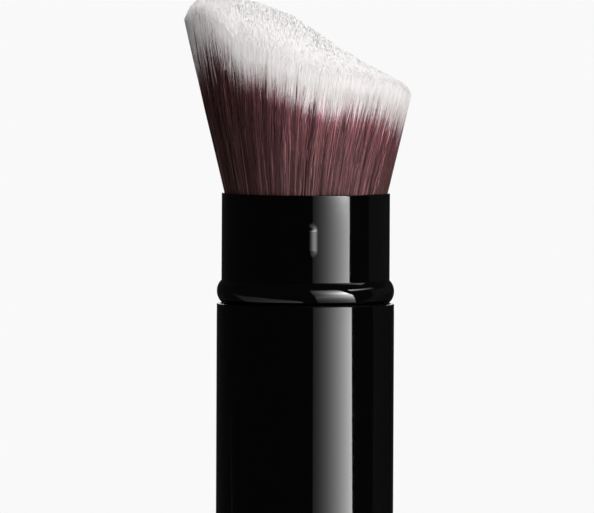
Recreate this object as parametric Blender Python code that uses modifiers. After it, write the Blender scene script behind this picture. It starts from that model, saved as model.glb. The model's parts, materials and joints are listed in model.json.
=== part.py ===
"""Retractable foundation brush: a wide cone of soft bristles that twists down into a glossy black case.

The case stands on its base. The collar above the seam turns on it and carries a slotted guide tube.
A carrier slides in that tube, and its two lugs pass through the slots into the helical grooves of a
sleeve fixed in the case, so a turn of the collar draws the bristles in or sends them out. The model
stands in the open position. All sizes are in metres, +Z is up, and -Y is the front.
"""

import math

import bmesh
import bpy
from mathutils import Matrix, Vector

# Driving dimensions: the case
BODY_RADIUS = 0.0130
BODY_WALL = 0.0005
COLLAR_STEP = 0.00067
COLLAR_WALL = 0.00038
COLLAR_HEIGHT = 0.0124
BEAD_HEIGHT = 0.0032

# Driving dimensions: the bristle head and its travel
HEAD_HEIGHT = 0.0286
HEAD_TUCK = 0.0009
FLARE_DEPTH = 0.0113
FERRULE_LENGTH = 0.0096
TWIST_ANGLE = math.radians(330)

# Gaps: between pieces that are fixed together, and between pieces that run on each other
FIT = 0.0003
RUN = 0.0003

# The bottom of the case
BASE_CAP_THICKNESS = 0.0020
BASE_EDGE_ROUND = 0.0005
SPIGOT_HEIGHT = 0.0020
SKIRT_WALL = 0.0013
WEIGHT_HEIGHT = 0.0069
WEIGHT_CHAMFER = 0.0005
INNER_PLATE = 0.0010
VENT_RADIUS = 0.0015
RIM_WALL = 0.00035

# The twist mechanism
LINER_WALL = 0.0005
LINER_FLANGE = 0.0008
LINER_RISE_SHARE = 0.5
GUIDE_WALL = 0.00075
GUIDE_RECESS = 0.0004
LUG_COUNT = 2
LUG_RADIUS = 0.0010
LUG_BITE = 0.00055
LUG_TIP_GAP = 0.0002
LUG_SIDE_GAP = 0.00025
LUG_END_ANGLE = math.radians(10)
GROOVE_LAND = 0.0003
SNAP_LIP = 0.0005
SNAP_THICKNESS = 0.0006
SNAP_PLAY = 0.00015
SNAP_DEPTH = 0.0003
SNAP_REACH = 0.00045
SNAP_OPENING = 0.0030
WASHER_THICKNESS = 0.0005
TORQUE_RING_SECTION = 0.00025
TORQUE_RING_RUN = 0.00007
TORQUE_GROOVE_DEPTH = 0.00035
TORQUE_GROOVE_WIDTH = 0.0007
TORQUE_RING_INSET = 0.0009

# The carrier, the ferrule and the roots
SKIRT_BELOW_LUG = 0.0050
SHOULDER_ABOVE_LUG = 0.0025
CARRIER_SKIRT_WALL = 0.0015
CARRIER_SPIGOT = 0.0025
PIN_ROOM = 0.00015
PIN_INSET = 0.0003
PIN_CHAMFER = 0.0002
FERRULE_WALL = 0.0003
CRIMP_DEPTH = 0.0001
CRIMP_WIDTH = 0.0010
CRIMP_SHARE = 0.4
ROOT_PLUG_HEIGHT = 0.0026
SLICE_THICKNESS = 0.0010

# The bristles
STRAND_COUNT = 340
STRAND_SIDES = 3
STRAND_FILL_SHARE = 0.38
ROOT_ROOM = 0.0006
TIP_LENGTH = 0.0060
TIP_SHARE = 0.45
RIDGE_START_SHARE = -1.03
RIDGE_END_SHARE = 1.72
RIDGE_DROP = 0.0133
DOME_DROP = 0.0040
EDGE_DROP = 0.0030
EDGE_POWER = 12
GOLDEN_ANGLE = math.pi * (3 - math.sqrt(5))
SETTLE_STEPS = 24

# The grip ribs on the collar, small pills that hold a cap
RIB_COUNT = 3
RIB_FRONT_ANGLE = math.radians(5)
RIB_WIDTH = 0.0012
RIB_LENGTH = 0.0051
RIB_DEPTH = 0.0003
RIB_SINK = 0.00003
RIB_TOP_GAP = 0.0045

# Facets, edges and how far a cutter overruns what it cuts
OUTER_SEGMENTS = 48
INNER_SEGMENTS = 36
PIN_SEGMENTS = 12
RIB_SEGMENTS = 12
RIB_RINGS = 8
TORQUE_RING_SIDES = 8
BEAD_STEPS = 8
ROUND_STEPS = 3
EDGE = 0.00015
OVERRUN = 0.0010
MERGE = 0.00001

# Radii, from the case wall inwards
BODY_BORE = BODY_RADIUS - BODY_WALL
INSERT_RADIUS = BODY_BORE - FIT
COLLAR_RADIUS = BODY_RADIUS - COLLAR_STEP
COLLAR_BORE = COLLAR_RADIUS - COLLAR_WALL
LINER_RADIUS = COLLAR_BORE - FIT
LINER_BORE = LINER_RADIUS - LINER_WALL
GUIDE_RADIUS = LINER_BORE - FIT
GUIDE_BORE = GUIDE_RADIUS - GUIDE_WALL
CARRIER_RADIUS = GUIDE_BORE - RUN
FERRULE_BORE = CARRIER_RADIUS - FERRULE_WALL
ROOT_RADIUS = FERRULE_BORE - FIT
SLEEVE_BORE = GUIDE_RADIUS + RUN
LUG_TIP_RADIUS = SLEEVE_BORE + LUG_BITE
GROOVE_FLOOR = LUG_TIP_RADIUS + LUG_TIP_GAP
SKIRT_BORE = INSERT_RADIUS - SKIRT_WALL
WEIGHT_RADIUS = SKIRT_BORE - FIT
TUFT_MOUTH_RADIUS = COLLAR_BORE - FIT

# The travel, and the helix that gives it
TRAVEL = HEAD_HEIGHT + HEAD_TUCK
RISE_PER_RADIAN = TRAVEL / TWIST_ANGLE
HELIX_SLOPE = math.atan(RISE_PER_RADIAN / SLEEVE_BORE)
GROOVE_HALF = (LUG_RADIUS + LUG_SIDE_GAP) / math.cos(HELIX_SLOPE)
GROOVE_RUNOUT = GROOVE_HALF + LUG_END_ANGLE * RISE_PER_RADIAN
SLOT_HALF = LUG_RADIUS + RUN

# Heights, from the table up to the mouth of the collar
WEIGHT_BOTTOM = BASE_CAP_THICKNESS + FIT
WEIGHT_TOP = WEIGHT_BOTTOM + WEIGHT_HEIGHT
PLATE_BOTTOM = WEIGHT_TOP + FIT
PLATE_TOP = PLATE_BOTTOM + INNER_PLATE
GUIDE_BOTTOM = PLATE_TOP + RUN
SNAP_GROOVE_BOTTOM = GUIDE_BOTTOM + SNAP_LIP
SNAP_BOTTOM = SNAP_GROOVE_BOTTOM + SNAP_PLAY
SNAP_TOP = SNAP_BOTTOM + SNAP_THICKNESS
THRUST_BOTTOM = SNAP_TOP + RUN
THRUST_TOP = THRUST_BOTTOM + WASHER_THICKNESS
SLEEVE_BOTTOM = THRUST_TOP + RUN
LOWER_TORQUE_Z = SLEEVE_BOTTOM + TORQUE_RING_INSET
LUG_LOW = LOWER_TORQUE_Z + TORQUE_GROOVE_WIDTH / 2 + GROOVE_LAND + GROOVE_RUNOUT
LUG_HIGH = LUG_LOW + TRAVEL
CARRIER_BOTTOM = LUG_HIGH - SKIRT_BELOW_LUG
SHOULDER = LUG_HIGH + SHOULDER_ABOVE_LUG
SPIGOT_TOP = SHOULDER + CARRIER_SPIGOT
FERRULE_BOTTOM = SHOULDER + FIT
FERRULE_TOP = FERRULE_BOTTOM + FERRULE_LENGTH
MOUTH = FERRULE_TOP + FLARE_DEPTH
COLLAR_BOTTOM = MOUTH - COLLAR_HEIGHT
BEAD_TOP = COLLAR_BOTTOM - FIT
BEAD_BOTTOM = BEAD_TOP - BEAD_HEIGHT
BODY_TOP = BEAD_BOTTOM - RUN
FLANGE_BOTTOM = BODY_TOP - LINER_FLANGE
GLIDE_TOP = FLANGE_BOTTOM - RUN
GLIDE_BOTTOM = GLIDE_TOP - WASHER_THICKNESS
SLEEVE_TOP = GLIDE_BOTTOM - RUN
UPPER_TORQUE_Z = SLEEVE_TOP - TORQUE_RING_INSET
GUIDE_TOP = FERRULE_TOP - GUIDE_RECESS
LINER_TOP = FERRULE_TOP + LINER_RISE_SHARE * FLARE_DEPTH
ROOT_PLUG_BOTTOM = SPIGOT_TOP + FIT
ROOT_PLUG_TOP = ROOT_PLUG_BOTTOM + ROOT_PLUG_HEIGHT
SLICE_BOTTOM = ROOT_PLUG_TOP + FIT
SLICE_TOP = SLICE_BOTTOM + SLICE_THICKNESS

# The bristles spread from one point below their roots
TUFT_ROOT_RADIUS = ROOT_RADIUS - ROOT_ROOM
FLARE_SLOPE = (TUFT_MOUTH_RADIUS - TUFT_ROOT_RADIUS) / FLARE_DEPTH
APEX_Z = FERRULE_TOP - TUFT_ROOT_RADIUS / FLARE_SLOPE


def clear_scene():
    for thing in list(bpy.data.objects):
        bpy.data.objects.remove(thing, do_unlink=True)


def new_collection(name):
    made = bpy.data.collections.new(name)
    bpy.context.scene.collection.children.link(made)
    return made


clear_scene()
PARTS = new_collection("retractable_foundation_brush")
CUTTERS = new_collection("cutters")


def new_material(name, color, roughness, metallic):
    made = bpy.data.materials.new(name)
    made.use_nodes = True
    shader = made.node_tree.nodes["Principled BSDF"]
    shader.inputs["Base Color"].default_value = (*color, 1)
    shader.inputs["Roughness"].default_value = roughness
    shader.inputs["Metallic"].default_value = metallic
    made.diffuse_color = (*color, 1)
    return made


BLACK_LACQUER = ((0.004, 0.004, 0.005), 0.06, 0.0)
BLACK_PLASTIC = ((0.012, 0.012, 0.013), 0.35, 0.0)
NATURAL_PLASTIC = ((0.62, 0.62, 0.59), 0.45, 0.0)
SATIN_ALUMINIUM = ((0.62, 0.62, 0.63), 0.30, 1.0)
ZINC_STEEL = ((0.46, 0.46, 0.47), 0.38, 1.0)
SPRING_STEEL = ((0.30, 0.30, 0.31), 0.30, 1.0)
WHITE_WASHER = ((0.80, 0.80, 0.78), 0.50, 0.0)
DARK_RUBBER = ((0.020, 0.020, 0.020), 0.70, 0.0)
AMBER_RESIN = ((0.42, 0.25, 0.08), 0.25, 0.0)
BURGUNDY_FIBRE = ((0.13, 0.05, 0.055), 0.55, 0.0)


def new_axis(name, parent=None, height=0):
    """An empty on a joint's axis. The pieces that the joint moves hang from it."""
    axis = bpy.data.objects.new(name, None)
    axis.empty_display_type = "SINGLE_ARROW"
    axis.empty_display_size = BODY_RADIUS
    PARTS.objects.link(axis)
    axis.parent = parent
    axis.location.z = height - (parent.matrix_world.translation.z if parent else 0)
    bpy.context.view_layer.update()
    return axis


TURN_AXIS = new_axis("collar_turn_axis", height=BODY_TOP)
SLIDE_AXIS = new_axis("carrier_slide_axis", TURN_AXIS, height=LUG_HIGH)


def adopt(thing, name, finish, parent):
    """Names a piece, gives it its own material and hangs it from its axis without moving it."""
    thing.name = name
    thing.data.name = name
    thing.data.materials.append(new_material(name + "_finish", *finish))
    for owner in list(thing.users_collection):
        owner.objects.unlink(thing)
    PARTS.objects.link(thing)
    if parent:
        thing.parent = parent
        thing.matrix_parent_inverse = parent.matrix_world.inverted()
    return thing


def as_cutter(thing, name):
    """A helper shape for a Boolean: it shows as wire and is left out of a render."""
    thing.name = name
    thing.hide_render = True
    thing.display_type = "WIRE"
    for owner in list(thing.users_collection):
        owner.objects.unlink(thing)
    CUTTERS.objects.link(thing)
    return thing


def boolean(thing, operation, other):
    change = thing.modifiers.new(other.name, "BOOLEAN")
    change.operation = operation
    change.object = other


def turned(name, outline, closed, finish, parent=None, segments=INNER_SEGMENTS):
    """A turned piece: points (radius, height), down the outer side, carried once round Z by a Screw."""
    count = len(outline)
    edges = [(i, (i + 1) % count) for i in range(count if closed else count - 1)]
    mesh = bpy.data.meshes.new(name)
    mesh.from_pydata([(radius, 0, height) for radius, height in outline], edges, [])
    thing = bpy.data.objects.new(name, mesh)
    bpy.context.scene.collection.objects.link(thing)
    screw = thing.modifiers.new("turn", "SCREW")
    screw.steps = segments
    screw.render_steps = segments
    screw.use_merge_vertices = True
    screw.merge_threshold = MERGE
    screw.use_smooth_shade = True
    return adopt(thing, name, finish, parent)


def ring(outer, bore, bottom, top, edge=EDGE):
    """The outline of a plain ring. Its two outer corners are chamfered, unless edge is 0."""
    if not edge:
        return [(outer, top), (outer, bottom), (bore, bottom), (bore, top)]
    return [
        (outer - edge, top),
        (outer, top - edge),
        (outer, bottom + edge),
        (outer - edge, bottom),
        (bore, bottom),
        (bore, top),
    ]


def disc(radius, bottom, top, edge=EDGE):
    """The outline of a solid disc with chamfered corners, from its axis out and back."""
    return [
        (0, top),
        (radius - edge, top),
        (radius, top - edge),
        (radius, bottom + edge),
        (radius - edge, bottom),
        (0, bottom),
    ]


# The case: base body


def make_body_shell():
    outline = ring(BODY_RADIUS, BODY_BORE, BASE_CAP_THICKNESS + FIT, BODY_TOP)
    return turned(
        "body_shell", outline, True, BLACK_LACQUER, segments=OUTER_SEGMENTS
    )


def make_base_cap():
    """The foot of the case: a flat disc with a rounded lower edge and a spigot up into the shell."""
    outline = [
        (0, BASE_CAP_THICKNESS),
        (SKIRT_BORE, BASE_CAP_THICKNESS),
        (SKIRT_BORE, BASE_CAP_THICKNESS + SPIGOT_HEIGHT),
        (INSERT_RADIUS, BASE_CAP_THICKNESS + SPIGOT_HEIGHT),
        (INSERT_RADIUS, BASE_CAP_THICKNESS),
        (BODY_RADIUS, BASE_CAP_THICKNESS),
    ]
    for step in range(ROUND_STEPS + 1):
        angle = step / ROUND_STEPS * math.pi / 2
        outline.append(
            (
                BODY_RADIUS - BASE_EDGE_ROUND * (1 - math.cos(angle)),
                BASE_EDGE_ROUND * (1 - math.sin(angle)),
            )
        )
    outline.append((0, 0))
    return turned(
        "base_cap", outline, False, BLACK_LACQUER, segments=OUTER_SEGMENTS
    )


def make_base_weight():
    outline = disc(WEIGHT_RADIUS, WEIGHT_BOTTOM, WEIGHT_TOP, WEIGHT_CHAMFER)
    return turned("base_weight", outline, False, ZINC_STEEL)


def make_inner_base():
    """A cup turned upside down over the weight, whose rim carries the spiral sleeve."""
    outline = [
        (INSERT_RADIUS, SLEEVE_BOTTOM - FIT),
        (INSERT_RADIUS, BASE_CAP_THICKNESS + SPIGOT_HEIGHT + FIT),
        (SKIRT_BORE, BASE_CAP_THICKNESS + SPIGOT_HEIGHT + FIT),
        (SKIRT_BORE, PLATE_BOTTOM),
        (VENT_RADIUS, PLATE_BOTTOM),
        (VENT_RADIUS, PLATE_TOP),
        (INSERT_RADIUS - RIM_WALL, PLATE_TOP),
        (INSERT_RADIUS - RIM_WALL, SLEEVE_BOTTOM - FIT),
    ]
    return turned("inner_base", outline, True, BLACK_PLASTIC)


def groove_cutter(number):
    """A bar of the groove's section, wound up the bore on the helix that the lug follows."""
    lug_angle = math.pi / 2 + number * math.tau / LUG_COUNT
    start_angle = lug_angle - TWIST_ANGLE - LUG_END_ANGLE
    start_z = LUG_LOW - LUG_END_ANGLE * RISE_PER_RADIAN
    sweep = TWIST_ANGLE + 2 * LUG_END_ANGLE
    steps = round(sweep * INNER_SEGMENTS / math.tau)
    form = bmesh.new()
    turn = Matrix.Rotation(start_angle, 3, "Z")
    corners = []
    for radius, rise in (
        (GUIDE_RADIUS, -GROOVE_HALF),
        (GROOVE_FLOOR, -GROOVE_HALF),
        (GROOVE_FLOOR, GROOVE_HALF),
        (GUIDE_RADIUS, GROOVE_HALF),
    ):
        corners.append(form.verts.new(turn @ Vector((radius, 0, start_z + rise))))
    face = form.faces.new(corners)
    bmesh.ops.spin(
        form,
        geom=[face, *face.edges, *face.verts],
        cent=(0, 0, 0),
        axis=(0, 0, 1),
        dvec=(0, 0, sweep * RISE_PER_RADIAN / steps),
        angle=sweep,
        steps=steps,
    )
    bmesh.ops.recalc_face_normals(form, faces=form.faces)
    mesh = bpy.data.meshes.new("groove_cutter")
    form.to_mesh(mesh)
    form.free()
    thing = bpy.data.objects.new("groove_cutter", mesh)
    bpy.context.scene.collection.objects.link(thing)
    return as_cutter(thing, f"groove_cutter_{number}")


def make_spiral_sleeve():
    """The sleeve is turned by half a facet, so that no edge of its bore lies on an edge of a cutter."""
    outline = ring(INSERT_RADIUS, SLEEVE_BORE, SLEEVE_BOTTOM, SLEEVE_TOP)
    sleeve = turned("spiral_sleeve", outline, True, NATURAL_PLASTIC)
    sleeve.rotation_euler.z = math.pi / INNER_SEGMENTS
    for number in range(LUG_COUNT):
        boolean(sleeve, "DIFFERENCE", groove_cutter(number))
    return sleeve


# The collar: what turns on the case


def rib_pill(number):
    """One grip rib: a long, flat, round-ended pill that is half sunk in the collar's wall."""
    angle = RIB_FRONT_ANGLE - math.pi / 2 + number * math.tau / RIB_COUNT
    bpy.ops.mesh.primitive_uv_sphere_add(
        segments=RIB_SEGMENTS, ring_count=RIB_RINGS, radius=1
    )
    pill = bpy.context.active_object
    pill.data.transform(
        Matrix.Diagonal((RIB_DEPTH, RIB_WIDTH / 2, RIB_LENGTH / 2, 1))
    )
    middle = MOUTH - RIB_TOP_GAP - RIB_LENGTH / 2
    out = COLLAR_RADIUS - RIB_SINK
    pill.location = (out * math.cos(angle), out * math.sin(angle), middle)
    pill.rotation_euler.z = angle
    return as_cutter(pill, f"rib_pill_{number}")


def make_collar_shell():
    outline = ring(COLLAR_RADIUS, COLLAR_BORE, COLLAR_BOTTOM, MOUTH)
    shell = turned(
        "collar_shell", outline, True, BLACK_LACQUER, TURN_AXIS, OUTER_SEGMENTS
    )
    for number in range(RIB_COUNT):
        boolean(shell, "UNION", rib_pill(number))
    return shell


def make_bead_ring():
    """The round bead at the seam: an arc from the collar's radius out to the case's and back."""
    half = BEAD_HEIGHT / 2
    radius = (half * half + COLLAR_STEP * COLLAR_STEP) / (2 * COLLAR_STEP)
    reach = math.asin(half / radius)
    outline = []
    for step in range(BEAD_STEPS + 1):
        angle = reach * (1 - 2 * step / BEAD_STEPS)
        outline.append(
            (
                BODY_RADIUS - radius * (1 - math.cos(angle)),
                BEAD_BOTTOM + half + radius * math.sin(angle),
            )
        )
    outline += [(COLLAR_BORE, BEAD_BOTTOM), (COLLAR_BORE, BEAD_TOP)]
    return turned(
        "bead_ring", outline, True, BLACK_LACQUER, TURN_AXIS, OUTER_SEGMENTS
    )


def make_collar_liner():
    """The plastic sleeve that the collar, the bead and the guide tube are pressed on, with a foot flange."""
    outline = [
        (LINER_RADIUS - EDGE, LINER_TOP),
        (LINER_RADIUS, LINER_TOP - EDGE),
        (LINER_RADIUS, BODY_TOP),
        (INSERT_RADIUS, BODY_TOP),
        (INSERT_RADIUS, FLANGE_BOTTOM),
        (LINER_BORE, FLANGE_BOTTOM),
        (LINER_BORE, LINER_TOP),
    ]
    return turned("collar_liner", outline, True, BLACK_PLASTIC, TURN_AXIS)


def make_guide_tube():
    """The slotted inner tube, with a groove for the snap ring and one for each torque ring."""
    outline = [(GUIDE_RADIUS, GUIDE_TOP)]
    grooves = (
        (UPPER_TORQUE_Z + TORQUE_GROOVE_WIDTH / 2, TORQUE_GROOVE_WIDTH, TORQUE_GROOVE_DEPTH),
        (LOWER_TORQUE_Z + TORQUE_GROOVE_WIDTH / 2, TORQUE_GROOVE_WIDTH, TORQUE_GROOVE_DEPTH),
        (SNAP_TOP + SNAP_PLAY, SNAP_THICKNESS + 2 * SNAP_PLAY, SNAP_DEPTH),
    )
    for top, width, depth in grooves:
        outline += [
            (GUIDE_RADIUS, top),
            (GUIDE_RADIUS - depth, top),
            (GUIDE_RADIUS - depth, top - width),
            (GUIDE_RADIUS, top - width),
        ]
    outline += [
        (GUIDE_RADIUS, GUIDE_BOTTOM),
        (GUIDE_BORE, GUIDE_BOTTOM),
        (GUIDE_BORE, GUIDE_TOP),
    ]
    tube = turned("guide_tube", outline, True, NATURAL_PLASTIC, TURN_AXIS)
    bpy.ops.mesh.primitive_cube_add(size=1)
    slot = bpy.context.active_object
    slot.data.transform(
        Matrix.Diagonal(
            (
                2 * SLOT_HALF,
                2 * (GUIDE_RADIUS + OVERRUN),
                TRAVEL + 2 * SLOT_HALF,
                1,
            )
        )
    )
    slot.location.z = (LUG_LOW + LUG_HIGH) / 2
    boolean(tube, "DIFFERENCE", as_cutter(slot, "guide_slot_cutter"))
    return tube


def make_retaining_ring():
    """The open snap ring that keeps the guide tube from pulling up out of the sleeve."""
    outline = ring(
        SLEEVE_BORE + SNAP_REACH,
        GUIDE_RADIUS - SNAP_DEPTH + SNAP_PLAY,
        SNAP_BOTTOM,
        SNAP_TOP,
        0,
    )
    snap = turned("retaining_ring", outline, True, SPRING_STEEL, TURN_AXIS)
    bpy.ops.mesh.primitive_cube_add(size=1)
    gap = bpy.context.active_object
    gap.data.transform(
        Matrix.Diagonal((BODY_RADIUS, SNAP_OPENING, SNAP_THICKNESS + OVERRUN, 1))
    )
    gap.location = (SLEEVE_BORE, 0, (SNAP_BOTTOM + SNAP_TOP) / 2)
    boolean(snap, "DIFFERENCE", as_cutter(gap, "snap_gap_cutter"))
    return snap


def make_washer(name, outer, bottom):
    outline = ring(outer, SLEEVE_BORE, bottom, bottom + WASHER_THICKNESS, 0)
    return turned(name, outline, True, WHITE_WASHER, TURN_AXIS)


def make_torque_ring(name, height):
    """A rubber ring in its groove. It rubs on the sleeve's bore and holds the twist where it is left."""
    bpy.ops.mesh.primitive_torus_add(
        major_segments=INNER_SEGMENTS,
        minor_segments=TORQUE_RING_SIDES,
        major_radius=SLEEVE_BORE - TORQUE_RING_RUN - TORQUE_RING_SECTION,
        minor_radius=TORQUE_RING_SECTION,
        location=(0, 0, height),
    )
    thing = bpy.context.active_object
    thing.data.shade_smooth()
    return adopt(thing, name, DARK_RUBBER, TURN_AXIS)


# The carrier: what slides


def make_carrier_cup():
    """A piston with a hollow skirt and a spigot up into the ferrule, cross-drilled for the two lugs."""
    hole = LUG_RADIUS + PIN_ROOM
    skirt_bore = CARRIER_RADIUS - CARRIER_SKIRT_WALL
    floor = LUG_HIGH + hole + FIT
    outline = [
        (0, SPIGOT_TOP),
        (ROOT_RADIUS - EDGE, SPIGOT_TOP),
        (ROOT_RADIUS, SPIGOT_TOP - EDGE),
        (ROOT_RADIUS, SHOULDER),
        (CARRIER_RADIUS, SHOULDER),
        (CARRIER_RADIUS, CARRIER_BOTTOM + EDGE),
        (CARRIER_RADIUS - EDGE, CARRIER_BOTTOM),
        (skirt_bore, CARRIER_BOTTOM),
        (skirt_bore, floor),
        (0, floor),
    ]
    cup = turned("carrier_cup", outline, False, NATURAL_PLASTIC, SLIDE_AXIS)
    bpy.ops.mesh.primitive_cylinder_add(
        vertices=PIN_SEGMENTS,
        radius=hole,
        depth=2 * (CARRIER_RADIUS + OVERRUN),
        location=(0, 0, LUG_HIGH),
        rotation=(math.pi / 2, 0, 0),
    )
    drill = as_cutter(bpy.context.active_object, "lug_hole_cutter")
    boolean(cup, "DIFFERENCE", drill)
    return cup


def make_lug_pin(name, side):
    """A lug: a pin through the carrier's wall whose end runs in the slot and in the spiral groove."""
    root = CARRIER_RADIUS - CARRIER_SKIRT_WALL + PIN_INSET
    bpy.ops.mesh.primitive_cylinder_add(
        vertices=PIN_SEGMENTS,
        radius=LUG_RADIUS,
        depth=LUG_TIP_RADIUS - root,
        location=(0, side * (LUG_TIP_RADIUS + root) / 2, LUG_HIGH),
        rotation=(math.pi / 2, 0, 0),
    )
    pin = bpy.context.active_object
    bevel = pin.modifiers.new("chamfer", "BEVEL")
    bevel.width = PIN_CHAMFER
    bevel.segments = 1
    bevel.limit_method = "ANGLE"
    bevel.angle_limit = math.radians(60)
    return adopt(pin, name, ZINC_STEEL, SLIDE_AXIS)


def make_ferrule():
    """The thin tube that grips the roots, with one crimped ring."""
    crimp_top = FERRULE_BOTTOM + CRIMP_SHARE * FERRULE_LENGTH + CRIMP_WIDTH / 2
    crimp_bottom = crimp_top - CRIMP_WIDTH
    outline = [(CARRIER_RADIUS, FERRULE_TOP)]
    for radius in (CARRIER_RADIUS, FERRULE_BORE):
        stretch = [
            (radius, crimp_top + CRIMP_WIDTH / 2),
            (radius - CRIMP_DEPTH, crimp_top),
            (radius - CRIMP_DEPTH, crimp_bottom),
            (radius, crimp_bottom - CRIMP_WIDTH / 2),
            (radius, FERRULE_BOTTOM),
        ]
        outline += stretch if radius == CARRIER_RADIUS else stretch[::-1]
    outline.append((FERRULE_BORE, FERRULE_TOP))
    return turned("ferrule", outline, True, SATIN_ALUMINIUM, SLIDE_AXIS)


def make_root_plug():
    outline = disc(ROOT_RADIUS, ROOT_PLUG_BOTTOM, ROOT_PLUG_TOP)
    return turned("root_plug", outline, False, AMBER_RESIN, SLIDE_AXIS)


def tuft_radius(height):
    """The radius of the whole tuft at a height: a cone from the apex below the roots."""
    return (height - APEX_Z) * FLARE_SLOPE


def strand_radius(height):
    """A strand's thickness there: a share of the room that each strand has, so it widens with the tuft."""
    return STRAND_FILL_SHARE * tuft_radius(height) * math.sqrt(math.pi / STRAND_COUNT)


def ridge_height(x):
    """The S-shaped cut of the head, seen from the front: level, then a smooth step down to the right."""
    start = RIDGE_START_SHARE * TUFT_MOUTH_RADIUS
    end = RIDGE_END_SHARE * TUFT_MOUTH_RADIUS
    along = min(max((x - start) / (end - start), 0), 1)
    return MOUTH + HEAD_HEIGHT - RIDGE_DROP * along * along * (3 - 2 * along)


def strand_place(number, height):
    """Where a strand's middle passes a height. The strands fill the tuft like the seeds of a sunflower."""
    share = math.sqrt((number + 0.5) / STRAND_COUNT)
    radius = share * (tuft_radius(height) - strand_radius(height))
    angle = number * GOLDEN_ANGLE
    return Vector((radius * math.cos(angle), radius * math.sin(angle), height))


def tip_height(number):
    """The height at which a strand meets the head's cut surface, found by stepping until it settles."""
    share = math.sqrt((number + 0.5) / STRAND_COUNT)
    height = MOUTH + HEAD_HEIGHT - RIDGE_DROP
    for _ in range(SETTLE_STEPS):
        place = strand_place(number, height)
        across = place.y / tuft_radius(height)
        height = (
            ridge_height(place.x)
            - DOME_DROP * across * across
            - EDGE_DROP * share**EDGE_POWER
        )
    return height


def add_strand(form, number):
    """One strand: a slim three-sided cone that widens with the tuft, drawn in over its last stretch."""
    root_z = (SLICE_BOTTOM + SLICE_TOP) / 2
    tip_z = tip_height(number)
    neck_z = tip_z - TIP_LENGTH
    root = strand_place(number, root_z)
    neck = strand_place(number, neck_z)
    tip = strand_place(number, tip_z)
    lean = (neck - root).to_track_quat("Z", "Y").to_matrix().to_4x4()
    made = bmesh.ops.create_cone(
        form,
        cap_ends=True,
        segments=STRAND_SIDES,
        radius1=strand_radius(root_z),
        radius2=strand_radius(neck_z),
        depth=(neck - root).length,
        matrix=Matrix.Translation((root + neck) / 2) @ lean,
    )
    upper = sorted(made["verts"], key=lambda corner: corner.co.z)[STRAND_SIDES:]
    cap = next(
        face
        for face in upper[0].link_faces
        if all(corner in upper for corner in face.verts)
    )
    grown = bmesh.ops.extrude_discrete_faces(form, faces=[cap])["faces"][0]
    for corner in grown.verts:
        corner.co = tip + (corner.co - neck) * TIP_SHARE


def make_bristles():
    outline = disc(ROOT_RADIUS, SLICE_BOTTOM, SLICE_TOP)
    tuft = turned("bristles", outline, False, BURGUNDY_FIBRE, SLIDE_AXIS)
    form = bmesh.new()
    for number in range(STRAND_COUNT):
        add_strand(form, number)
    bmesh.ops.recalc_face_normals(form, faces=form.faces)
    mesh = bpy.data.meshes.new("strands")
    form.to_mesh(mesh)
    form.free()
    strands = bpy.data.objects.new("strands", mesh)
    bpy.context.scene.collection.objects.link(strands)
    boolean(tuft, "UNION", as_cutter(strands, "strands"))
    return tuft


make_body_shell()
make_base_cap()
make_base_weight()
make_inner_base()
make_spiral_sleeve()

make_collar_shell()
make_bead_ring()
make_collar_liner()
make_guide_tube()
make_retaining_ring()
make_washer("thrust_washer", SLEEVE_BORE + SNAP_REACH, THRUST_BOTTOM)
make_washer("glide_washer", INSERT_RADIUS - EDGE, GLIDE_BOTTOM)
make_torque_ring("torque_ring_upper", UPPER_TORQUE_Z)
make_torque_ring("torque_ring_lower", LOWER_TORQUE_Z)

make_carrier_cup()
make_lug_pin("lug_pin_a", 1)
make_lug_pin("lug_pin_b", -1)
make_ferrule()
make_root_plug()
make_bristles()

print(f"mouth at {MOUTH * 1000:.2f} mm, seam at {BODY_TOP * 1000:.2f} mm, travel {TRAVEL * 1000:.2f} mm")
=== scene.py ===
# %% [markdown]
# # A retractable foundation brush
#
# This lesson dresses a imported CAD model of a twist-up make-up brush: a wide, slanted head of soft
# bristles, burgundy with white tips, in a case of black lacquer. Every piece is a surface worked
# out with numpy, and every finish is made of shader nodes. The CAD model stays as it is and says
# where each piece goes, so the looks follow it when the collar is turned and the head goes in.

import json
import math

import bpy
import numpy as np
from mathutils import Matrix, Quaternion, Vector


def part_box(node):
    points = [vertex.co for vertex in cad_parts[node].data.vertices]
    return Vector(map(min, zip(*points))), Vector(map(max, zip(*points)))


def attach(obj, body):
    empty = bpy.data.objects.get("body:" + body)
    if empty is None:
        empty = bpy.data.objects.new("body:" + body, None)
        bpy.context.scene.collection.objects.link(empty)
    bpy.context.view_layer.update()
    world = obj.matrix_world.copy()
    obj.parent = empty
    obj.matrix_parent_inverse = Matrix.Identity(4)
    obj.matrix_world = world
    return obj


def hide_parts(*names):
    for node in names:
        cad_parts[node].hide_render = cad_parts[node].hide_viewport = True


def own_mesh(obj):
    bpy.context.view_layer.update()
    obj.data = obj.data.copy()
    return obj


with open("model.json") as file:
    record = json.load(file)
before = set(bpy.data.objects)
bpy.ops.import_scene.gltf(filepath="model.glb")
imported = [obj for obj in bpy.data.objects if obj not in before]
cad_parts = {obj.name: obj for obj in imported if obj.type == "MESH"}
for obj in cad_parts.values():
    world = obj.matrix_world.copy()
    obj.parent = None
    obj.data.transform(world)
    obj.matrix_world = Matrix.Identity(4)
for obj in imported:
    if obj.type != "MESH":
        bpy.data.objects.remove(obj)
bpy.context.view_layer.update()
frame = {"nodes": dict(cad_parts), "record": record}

# %% [markdown]
# ## Sizes
#
# The sizes are read from the CAD nodes, so that a new piece fits the one that it stands for. What
# the CAD doesn't say, such as the roundness of an edge, has a name here. One pixel of the
# photograph is 0.147 mm at the axis of the brush, which turned its outlines into the millimetres
# below.

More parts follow.
